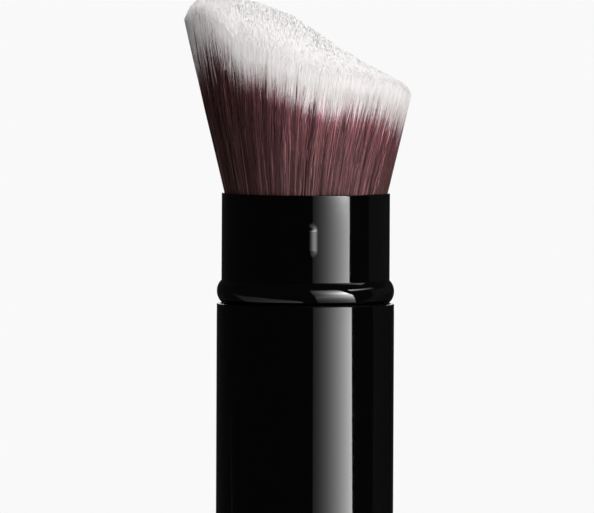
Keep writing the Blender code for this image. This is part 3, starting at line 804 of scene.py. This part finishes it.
def fibre_finish():
    """White and dyed fibre. What a dyed fibre mirrors is tinted by its dye, as a metal's is."""
    finish = Finish("dyed_fibre", ior=1.46, roughness=0.45, specular_ior_level=0.5)
    uv = finish.node("ShaderNodeUVMap", {"uv_map": "OFBake"}).outputs[0]
    parts = finish.node("ShaderNodeSeparateXYZ", Vector=uv).outputs
    along, own = Value(finish, parts[1]), Value(finish, parts[0])
    stops = [(v_at(distance), colour) for distance, colour in COLOURS.items()]
    ramp = finish.node("ShaderNodeValToRGB", {"stops": stops}, Fac=along).outputs[0]
    ends = {"From_Min": v_at(UNDYED), "From_Max": v_at(DYED)}
    dyed = finish.value("ShaderNodeMapRange", 0, Value=along, **ends)
    least, by_tone = WHITE_STRENGTH
    white = least + own * by_tone
    least, by_tone, by_fourth = DYED_STRENGTH
    burgundy = least + own * by_tone + own**4 * by_fourth
    strength = white * (1 - dyed) + burgundy * dyed
    finish.set(base_color=finish.scaled(ramp, strength), metallic=dyed * DYED_SHEEN)
    return finish


fibre = fibre_finish()
print("fibre nodes:", len(fibre.tree.nodes))

# %% [markdown]
# The fibres go into sixteen wedges. The mouth of the collar gathers real bristles towards the axis
# when it draws the head in; nothing here flattens the wedges. A fibre belongs to the wedge that its
# root is in. A stray whose tip would still stand out sideways if that wedge were pressed halfway
# towards the axis joins the wedge that its tip is in.

# %% Build the wedges of the head
WEDGES = 16
KEEP = 0.5
GATHERED_RADIUS = 10.0 * MM

wedge_angles = (np.arange(WEDGES) + 0.5) * FULL_TURN / WEDGES


def wedge_at(places):
    """The number of the wedge that each place lies in."""
    angles = np.arctan2(places[:, 1], places[:, 0]) % FULL_TURN
    return (angles / FULL_TURN * WEDGES).astype(int) % WEDGES


wedge_of = wedge_at(q)
axes = np.stack([np.cos(wedge_angles), np.sin(wedge_angles)], 1)[wedge_of]
inward = KEEP * (at * axes).sum(1)
aside = at[:, 0] * axes[:, 1] - at[:, 1] * axes[:, 0]
wedge_of = np.where(np.hypot(inward, aside) > GATHERED_RADIUS, wedge_at(at), wedge_of)
levels = fibre_points.shape[1]
level, side = np.meshgrid(np.arange(levels - 1), np.arange(SIDES), indexing="ij")
after = (side + 1) % SIDES
here, down = level * SIDES, (level + 1) * SIDES
quad_pattern = np.stack([here + side, down + side, down + after, here + after], -1).reshape(-1, 4)
sides = np.arange(SIDES)
tip_pattern = np.stack([np.full(SIDES, levels * SIDES), sides, (sides + 1) % SIDES], 1)
root_pattern = (levels - 1) * SIDES + sides[None, ::-1]
triangle_pattern = np.concatenate([tip_pattern, root_pattern])


def wedge_piece(number):
    """The fibres of one wedge as one mesh, with their tones and dye lines in its UV map."""
    mine = np.flatnonzero(wedge_of == number)
    count = len(mine)
    points = np.concatenate([fibre_points[mine].reshape(count, -1, 3), needle[mine][:, None]], 1)
    base = (np.arange(count) * points.shape[1])[:, None, None]
    piece = new_piece(
        f"bristles_{number + 1:02d}",
        points.reshape(-1, 3),
        (quad_pattern + base).reshape(-1, 4),
        (triangle_pattern + base).reshape(-1, 3),
    )
    normals = fibre_normals[mine].reshape(count, -1, 3)
    normals = np.concatenate([normals, head_normals[mine][:, :1]], 1)
    piece.data.normals_split_custom_set_from_vertices(normals.reshape(-1, 3))
    u, v = side_u[mine], fibre_v[mine]
    quad_u = np.stack([u[:, side], u[:, side], u[:, side + 1], u[:, side + 1]], -1)
    quad_v = np.stack([v[:, level], v[:, level + 1], v[:, level + 1], v[:, level]], -1)
    quad_uv = np.stack([quad_u, quad_v], -1).reshape(-1, 2)
    middle = tone[mine][:, None]
    tip_u = np.stack([np.broadcast_to(middle, (count, SIDES)), u[:, :-1], u[:, 1:]], -1)
    ring_v = np.broadcast_to(v[:, :1], (count, SIDES))
    point_v = np.broadcast_to(needle_v[mine][:, None], (count, SIDES))
    tip_v = np.stack([point_v, ring_v, ring_v], -1)
    root_u = middle + np.array([0.5, 0.0, -0.5]) * U_WIDTH
    root_v = v[:, -1:] + np.array([0.0, 0.5, 0.0]) * U_WIDTH
    triangle_u = np.concatenate([tip_u, root_u[:, None]], 1)
    triangle_v = np.concatenate([tip_v, root_v[:, None]], 1)
    triangle_uv = np.stack([triangle_u, triangle_v], -1).reshape(-1, 2)
    layer = piece.data.uv_layers.new(name="OFBake")
    uv = np.concatenate([quad_uv, triangle_uv]).astype(np.float32)
    layer.uv.foreach_set("vector", uv.ravel())
    return piece


head_faces = 0
for number, angle in enumerate(wedge_angles):
    wedge = wedge_piece(number)
    wear(wedge, fibre)
    if number == 0:
        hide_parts("bristles")
    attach(wedge, "carrier")
    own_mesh(wedge)
    head_faces += len(wedge.data.polygons)
print("faces of the head:", head_faces)

# %% [markdown]
# ## The finishes inside
#
# What the case hides keeps its CAD shape and gets a finish of its own: milky and black moulded
# plastic, satin aluminium, plated and spring steel, rubber, white washers and amber resin. Each
# has the small marks of how it is made.

# %% Dress the inner pieces
FLOW_SCALE, MATT_SCALE, ROUND_SCALE, RESIN_SCALE = 90.0, 300.0, 150.0, 500.0
MATT_ROUGH, MARK_ROUGH = 0.12, 0.16
MOULD_GRAIN = 0.004 * MM
DRAW_MARKS = 0.005 * MM


def shade(colour, share):
    """The colour times this share."""
    return tuple(share * part for part in colour)


def moulded(name, colour, roughness, grain, mirror=0.5):
    """Moulded plastic: a fine spark-eroded grain, and flow clouds that change its tone a little."""
    finish = Finish(name, ior=1.5, specular_ior_level=mirror)
    cloud = finish.noise(FLOW_SCALE)
    finish.set(
        base_color=finish.mix(cloud, shade(colour, 0.9), shade(colour, 1.06)),
        roughness=roughness + finish.noise(MATT_SCALE) * MATT_ROUGH,
    )
    finish.bump(finish.noise(grain), MOULD_GRAIN)
    return finish


def drawn_metal(name, colour, roughness, marks):
    """Turned or drawn metal: fine marks round the axis, which are noise squeezed along Z."""
    finish = Finish(name, metallic=1.0)
    lines = finish.noise(1.0, 4.0, finish.stretched(ROUND_SCALE, ROUND_SCALE, marks))
    finish.set(
        base_color=finish.mix(lines, shade(colour, 0.85), shade(colour, 1.1)),
        roughness=roughness + lines * MARK_ROUGH,
    )
    finish.bump(lines, DRAW_MARKS)
    return finish


def cast_resin():
    """Amber resin round the roots: clear over a cloudy inside."""
    finish = Finish("amber_resin", ior=1.54, coat_weight=0.6, coat_roughness=0.05)
    cloud = finish.noise(RESIN_SCALE, 3.0)
    finish.set(
        base_color=finish.mix(cloud, (0.30, 0.16, 0.05), (0.52, 0.33, 0.12)),
        roughness=0.2 + cloud * 0.2,
    )
    return finish


finishes = {
    "black_lacquer": lacquer,
    "black_plastic": moulded("black_plastic", (0.006, 0.006, 0.0065), 0.52, 2600.0, 0.12),
    "natural_plastic": moulded("natural_plastic", (0.62, 0.62, 0.59), 0.38, 2200.0),
    "washer_plastic": moulded("washer_plastic", (0.78, 0.78, 0.76), 0.42, 3000.0),
    "rubber": moulded("black_rubber", (0.020, 0.020, 0.020), 0.62, 1800.0),
    "plated_steel": drawn_metal("plated_steel", (0.46, 0.46, 0.47), 0.30, 9000.0),
    "spring_steel": drawn_metal("spring_steel", (0.30, 0.30, 0.31), 0.24, 12000.0),
    "satin_aluminium": drawn_metal("satin_aluminium", (0.62, 0.62, 0.63), 0.24, 16000.0),
    "resin": cast_resin(),
    "fibre": fibre,
}
for part in frame["record"]["subparts"]:
    wear(frame["nodes"][part["node"]], finishes[part["material_slot"]])
print("finishes:", len(finishes))

# %% [markdown]
# ## The camera
#
# The photograph looks at the brush from a little above, through a long lens: its 594 pixels span
# 87 mm at the axis, from 1.24 m away. The brush leans a quarter of a degree to the right in it,
# which is a roll of the camera.

# %% Place the camera
DISTANCE = 1.24
ELEVATION = math.radians(2.4)
ROLL = math.radians(0.25)
VIEW_WIDTH = 87.03 * MM
SENSOR = 36
AIM = Vector((-1.263 * MM, 0.0, mouth - 9.34 * MM))

camera_data = bpy.data.cameras.new("camera")
camera_data.sensor_width = SENSOR
camera_data.lens = SENSOR * DISTANCE / VIEW_WIDTH
camera_data.clip_start, camera_data.clip_end = 0.01, 50
camera = bpy.data.objects.new("camera", camera_data)
bpy.context.scene.collection.objects.link(camera)
toward = Vector((0, -math.cos(ELEVATION), math.sin(ELEVATION)))
camera.location = AIM + toward * DISTANCE
roll = Quaternion((0, 0, 1), ROLL)
camera.rotation_euler = (toward.to_track_quat("Z", "Y") @ roll).to_euler()
bpy.context.scene.camera = camera
print(f"lens {camera_data.lens:.0f} mm")

# %% [markdown]
# ## The studio
#
# Glossy black shows only what it mirrors, so the light is built for its reflections. A tall curved
# card stands to the right, dim near the camera and bright at its far edge: it is the upright band
# on the case. It reaches far below the table, because the lower half of the bead mirrors what is
# under it. Smaller cards give the short bright bar and the faint veils beside it. A card is a
# surface over direction: each of its rows says the elevation in degrees, the azimuths of its near
# and far edge, counted from the camera to the right, the square roots of its brightness there, the
# power by which the root goes from one to the other, and the height of a hump h towards the far
# edge. At the share s of the way across, the hump adds 12.2 h s^4 (1 - s), which is highest, and
# close to h, at s = 0.8.

# %% Hang the cards
CARD_REACH = 0.6
CARD_COLUMNS = 33
HUMP_SCALE = 12.2

bead_middle = bead_low + bead_half


def stage_piece(name, points, quads, unseen):
    """A piece of the stage that these kinds of rays don't see, and its still empty nodes."""
    piece = new_piece(name, points.reshape(-1, 3), quads.reshape(-1, 4))
    for rays in unseen:
        setattr(piece, f"visible_{rays}", False)
    made = bpy.data.materials.new(name)
    piece.data.materials.append(made)
    nodes = Nodes(made)
    nodes.tree.nodes.clear()
    return piece, nodes


def gloss_card(name, rows):
    """A curved card, seen only by glossy rays, whose brightness is the square of its root."""
    elevation, near, far, near_root, far_root, bend, hump = np.array(rows, float).T[:, :, None]
    share = np.linspace(0, 1, CARD_COLUMNS)[None]
    azimuth = np.radians(near + (far - near) * share)
    rise = np.radians(elevation)
    flat = np.cos(rise) * CARD_REACH
    x, y = flat * np.sin(azimuth), -flat * np.cos(azimuth)
    z = bead_middle + np.sin(rise) * CARD_REACH + 0 * azimuth
    index = np.arange(azimuth.size).reshape(azimuth.shape)
    quads = np.stack([index[:-1, :-1], index[:-1, 1:], index[1:, 1:], index[1:, :-1]], -1)
    unseen = "camera", "shadow", "diffuse", "transmission"
    piece, nodes = stage_piece(name, np.stack([x, y, z], -1), quads, unseen)
    roots = near_root + (far_root - near_root) * share**bend
    roots = roots + hump * HUMP_SCALE * share**4 * (1 - share)
    layer = piece.data.attributes.new("root", "FLOAT", "POINT")
    layer.data.foreach_set("value", roots.astype(np.float32).ravel())
    root = nodes.value("ShaderNodeAttribute", "Fac", {"attribute_name": "root"})
    light = nodes.node("ShaderNodeEmission", Strength=root**2).outputs[0]
    nodes.node("ShaderNodeOutputMaterial", Surface=light)


cards = {
    "key_card": [
        (28.5, 6.2, 42.0, 0.60, 1.05, 1.0, 0),
        (22.5, 6.7, 48.0, 0.66, 2.00, 1.2, 0),
        (16.0, 7.2, 50.5, 0.70, 2.75, 1.2, 0),
        (9.5, 8.2, 54.0, 0.68, 4.20, 1.45, 0),
        (3.5, 9.1, 57.0, 0.68, 4.40, 1.45, 0),
        (0.0, 9.3, 60.0, 0.56, 3.40, 1.2, 1.05),
        (-0.55, 9.4, 61.6, 0.52, 3.00, 1.16, 1.05),
        (-0.86, 9.4, 61.8, 0.52, 3.00, 1.16, 0),
        (-2.6, 9.4, 61.8, 0.52, 3.00, 1.16, 0),
        (-3.0, 9.9, 61.8, 0.55, 3.38, 1.22, 0),
        (-8.4, 10.5, 64.7, 0.55, 3.38, 1.22, 0),
        (-11.5, 11.8, 64.5, 0.66, 2.80, 1.0, 0),
        (-18.0, 12.8, 67.5, 0.75, 2.45, 1.0, 0),
        (-25.0, 13.6, 70.5, 0.74, 1.85, 1.0, 0),
        (-33.0, 15.0, 75.5, 0.64, 1.38, 1.0, 0),
        (-40.0, 17.0, 82.0, 0.56, 1.12, 1.0, 0),
        (-48.0, 19.5, 95.0, 0.50, 0.92, 1.0, 0),
        (-56.0, 23.0, 108.0, 0.46, 0.76, 1.0, 0),
        (-64.0, 29.0, 116.0, 0.46, 0.68, 1.0, 0),
        (-74.0, 36.0, 122.0, 0.46, 0.62, 1.0, 0),
    ],
    "bar_card": [
        (20.5, 62.0, 106.0, 2.4, 0.5, 0.9, 0),
        (27.0, 60.0, 104.0, 2.4, 0.5, 0.9, 0),
    ],
    "side_card": [
        (16.0, 96.0, 150.0, 0.26, 0.15, 1.0, 0),
        (-2.2, 96.0, 150.0, 0.26, 0.15, 1.0, 0),
        (-3.2, 99.0, 150.0, 0.25, 0.10, 1.0, 0),
        (-42.0, 99.0, 150.0, 0.25, 0.10, 1.0, 0),
    ],
    "top_card": [
        (45.0, 104.0, 134.0, 1.0, 0.9, 1.0, 0),
        (62.0, 92.0, 134.0, 1.0, 1.0, 1.0, 0),
        (82.0, 60.0, 134.0, 0.8, 1.0, 1.0, 0),
    ],
    "low_left_card": [
        (-5.0, -112.5, -111.0, 0.20, 0.20, 1.0, 0),
        (-11.0, -106.0, -99.0, 0.30, 0.30, 1.0, 0),
        (-18.0, -103.0, -83.0, 0.37, 0.36, 1.0, 0),
        (-21.0, -102.5, -70.0, 0.38, 0.39, 1.0, 0),
        (-27.0, -103.0, -58.0, 0.38, 0.46, 1.0, 0),
        (-34.0, -104.0, -46.0, 0.38, 0.52, 1.0, 0),
        (-40.0, -105.0, -33.0, 0.40, 0.56, 1.0, 0),
        (-45.0, -104.0, -20.0, 0.44, 0.62, 1.0, 0),
        (-50.0, -97.0, -9.0, 0.50, 0.68, 1.0, 0),
        (-58.0, -89.0, -4.5, 0.56, 0.72, 1.0, 0),
        (-66.0, -80.0, -3.0, 0.62, 0.86, 1.0, 0),
        (-76.0, -60.0, -2.0, 0.64, 0.90, 1.0, 0),
    ],
}
for name, rows in cards.items():
    gloss_card(name, rows)
print("cards:", len(cards))

# %% [markdown]
# Six plain lamps light the bristles: from the right, the top, twice from the front, from behind,
# and from the left. They aren't mirrored, or each would put a square in the lacquer. The table
# says the direction of each from the head, its distance and size in metres, and its power in watts.

# %% Hang the lamps
LAMP_AIM = Vector((0, 0, mouth + 12 * MM))


def lamp(name, direction, distance, size, power):
    """A square area lamp in this direction from the head, which it looks at."""
    data = bpy.data.lights.new(name, "AREA")
    data.shape, data.size, data.energy = "SQUARE", size, power
    made = bpy.data.objects.new(name, data)
    bpy.context.scene.collection.objects.link(made)
    way = Vector(direction).normalized()
    made.location = LAMP_AIM + way * distance
    made.rotation_euler = way.to_track_quat("Z", "Y").to_euler()
    made.visible_glossy = False
    made.visible_camera = False


lamps = {
    "key_lamp": ((0.80, -0.50, 0.22), 0.8, 0.35, 1.35),
    "top_lamp": ((0.45, 0.25, 0.84), 0.8, 0.40, 4.8),
    "high_front_lamp": ((0.12, -0.80, 0.62), 0.9, 0.40, 4.3),
    "low_front_lamp": ((-0.15, -0.96, 0.20), 0.9, 0.40, 0.95),
    "back_lamp": ((-0.15, 0.92, 0.36), 0.9, 0.40, 2.2),
    "left_lamp": ((-0.94, -0.20, 0.28), 0.9, 0.40, 0.75),
}
for name, settings in lamps.items():
    lamp(name, *settings)
print("lamps:", len(lamps))

# %% [markdown]
# The floor shows shadows and fades into the white round it. The backdrop is a white sheet far
# behind the brush. The room itself is dark to mirrored rays, nearly dark to the light that falls
# on the brush, and white only where the camera looks:
# brightness = (camera or transmission) * (white - fill) + glossy * (room - fill) + fill.

# %% Lay the floor, hang the backdrop and light the room
WHITE = 0.947
ROOM = 0.0175
FILL = 0.02
FLOOR_RADIUS = 0.27
FLOOR_RINGS = np.concatenate([[0.002], np.linspace(0.02, FLOOR_RADIUS, 14)])
FLOOR_ANGLES = np.linspace(0, FULL_TURN, 96, endpoint=False)
FADE_START, FADE_END = FLOOR_RADIUS * 0.35, FLOOR_RADIUS * 0.98
FLOOR_GREY = (0.8, 0.8, 0.8)
FLOOR_LIFT = 0.45
BACKDROP_X = np.array([-0.16, 0.16, 0.16, -0.16])
BACKDROP_Y = 1.5
BACKDROP_Z = np.array([-0.02, -0.02, 0.22, 0.22])


def pale_floor():
    """A round floor. To the camera it is lifted by a little light of its own."""
    rings = FLOOR_RINGS[:, None]
    x, y = rings * np.cos(FLOOR_ANGLES), rings * np.sin(FLOOR_ANGLES)
    index = np.arange(x.size).reshape(x.shape)
    here, out = index[:-1], index[1:]
    quads = np.stack([here, out, np.roll(out, -1, 1), np.roll(here, -1, 1)], -1)
    _, nodes = stage_piece("floor_disc", np.stack([x, y, 0 * x], -1), quads, ["glossy"])
    settings = {"operation": "LENGTH"}
    away = nodes.node("ShaderNodeVectorMath", settings, nodes.at()).outputs["Value"]
    settings = {"interpolation_type": "SMOOTHSTEP"}
    ends = {"From_Min": FADE_START, "From_Max": FADE_END}
    fade = nodes.value("ShaderNodeMapRange", "Result", settings, Value=away, **ends)
    lifted = nodes.value("ShaderNodeLightPath", "Is Camera Ray") * FLOOR_LIFT
    matt = nodes.node("ShaderNodeBsdfDiffuse", Color=FLOOR_GREY).outputs[0]
    light = nodes.node("ShaderNodeEmission", Strength=lifted).outputs[0]
    both = nodes.node("ShaderNodeAddShader", None, matt, light).outputs[0]
    clear = nodes.node("ShaderNodeBsdfTransparent").outputs[0]
    blend = nodes.node("ShaderNodeMixShader", None, fade, both, clear).outputs[0]
    nodes.node("ShaderNodeOutputMaterial", Surface=blend)


def pale_backdrop():
    """An upright white sheet, which the camera and mirrored rays see."""
    points = np.stack([BACKDROP_X, 0 * BACKDROP_X + BACKDROP_Y, BACKDROP_Z], 1)
    _, nodes = stage_piece("backdrop", points, np.arange(4), ["diffuse", "shadow"])
    light = nodes.node("ShaderNodeEmission", Strength=WHITE).outputs[0]
    nodes.node("ShaderNodeOutputMaterial", Surface=light)


def dark_room():
    """The world, whose brightness depends on the kind of ray that sees it."""
    world = bpy.data.worlds.new("room")
    bpy.context.scene.world = world
    nodes = Nodes(world)
    rays = nodes.node("ShaderNodeLightPath").outputs
    seen = Value(nodes, rays["Is Camera Ray"]) + rays["Is Transmission Ray"]
    mirrored = Value(nodes, rays["Is Glossy Ray"])
    brightness = seen * (WHITE - FILL) + mirrored * (ROOM - FILL) + FILL
    sky = nodes.tree.nodes["Background"]
    nodes.feed(sky.inputs["Strength"], brightness)
    nodes.feed(sky.inputs["Color"], (1, 1, 1))


pale_floor()
pale_backdrop()
dark_room()
bpy.context.scene.view_settings.view_transform = "Standard"
print("stage set")
